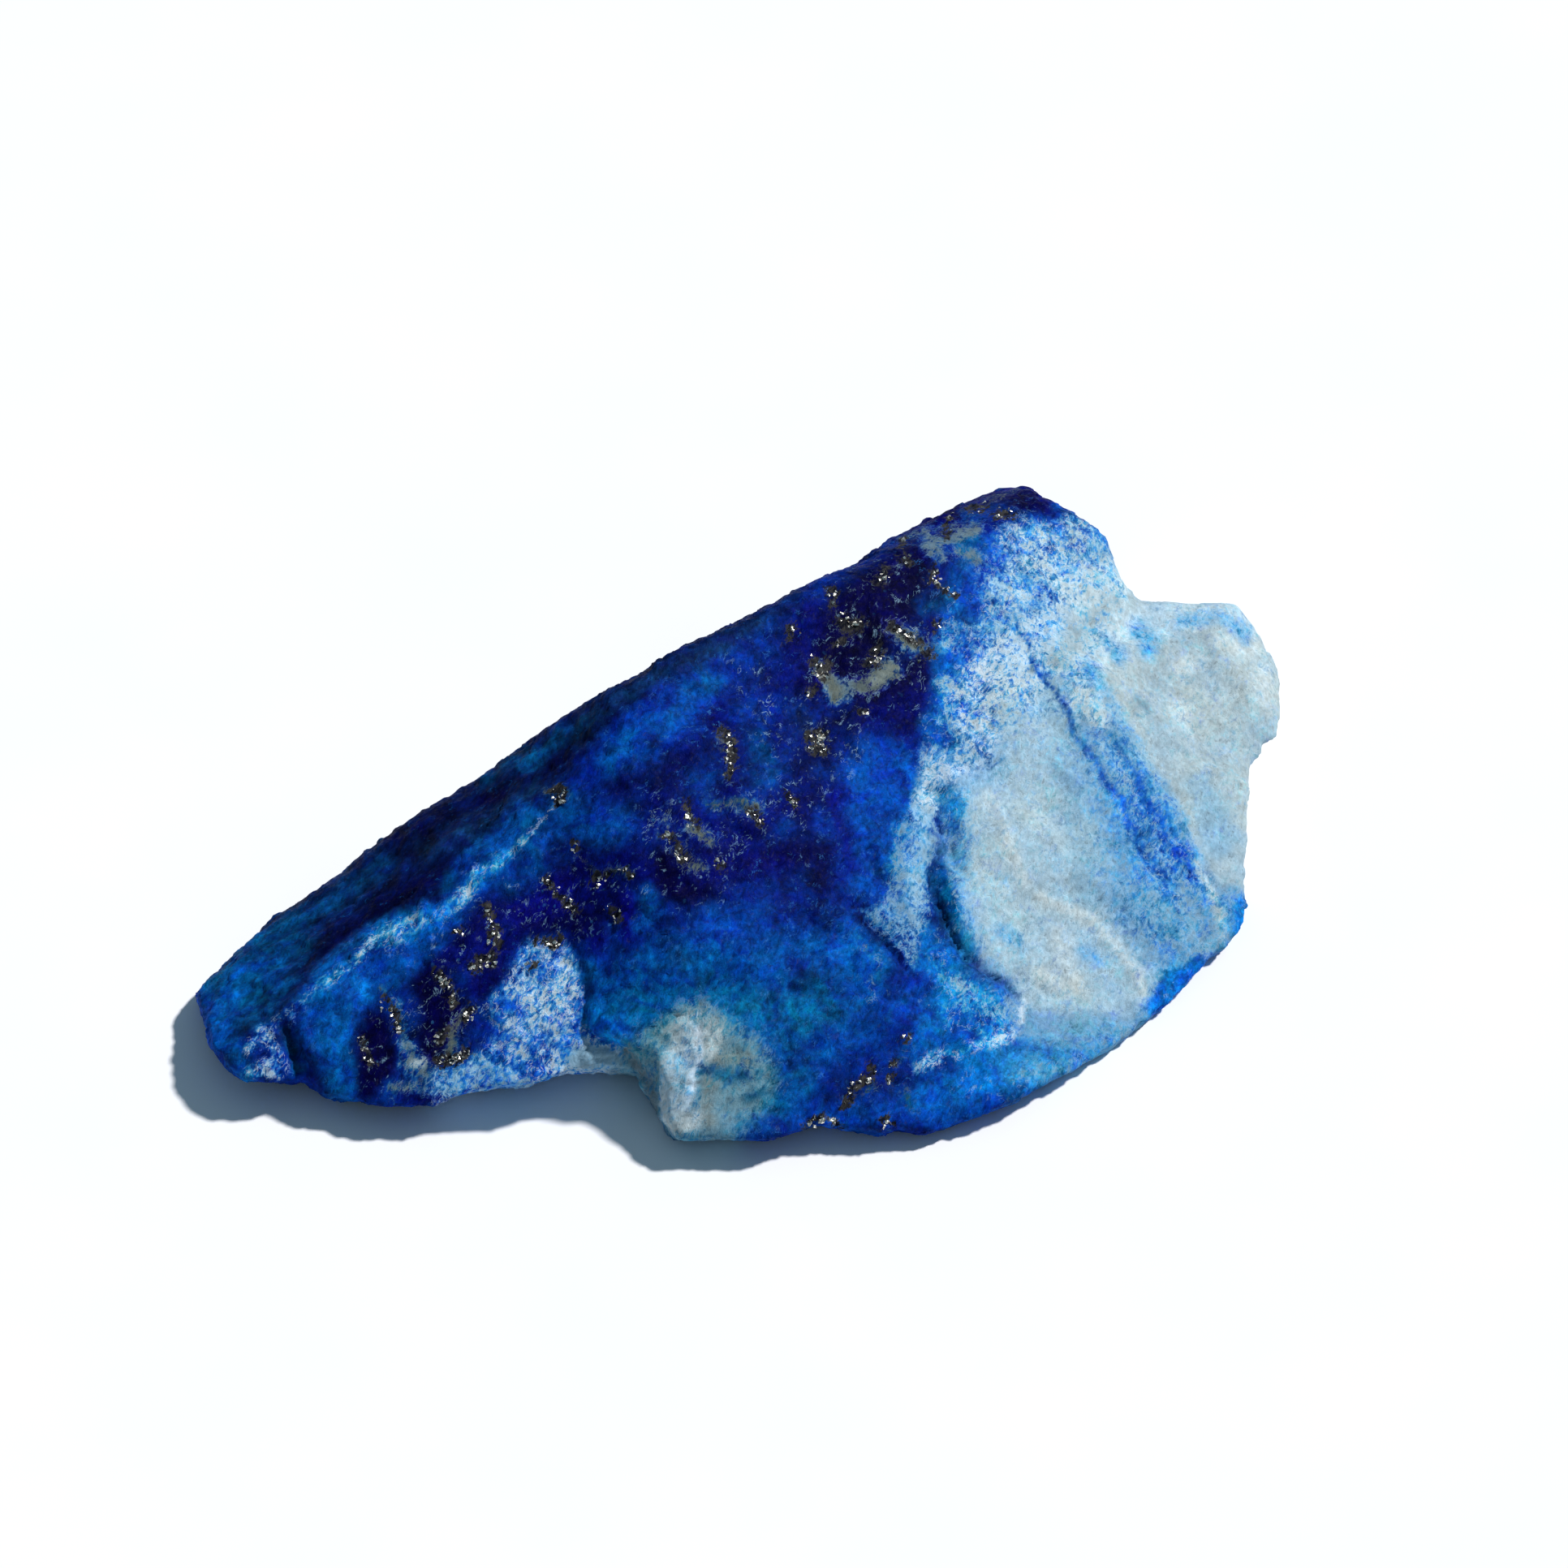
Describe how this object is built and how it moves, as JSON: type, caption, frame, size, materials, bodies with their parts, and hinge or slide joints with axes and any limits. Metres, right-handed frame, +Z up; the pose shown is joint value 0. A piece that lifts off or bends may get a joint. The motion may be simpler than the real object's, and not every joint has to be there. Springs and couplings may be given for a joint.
{
  "type": "lapis lazuli specimen",
  "caption": "Rough broken lump of lapis lazuli, a low tent of fracture faces on a flat base: deep blue with pyrite grains on one side, pale calcite on the other.",
  "frame": {"origin": "on the surface that the stone rests on, under the middle of its bounding box", "axes": "+X from the thin blue tip towards the pale end, +Y away from the display side, +Z up"},
  "size_m": [0.0668, 0.0478, 0.0153],
  "materials": {
    "lapis": "rough, sugary fracture surface with pyrite grains"
  },
  "bodies": {
    "root": {"lapis_stone": "lapis"}
  },
  "joints": []
}
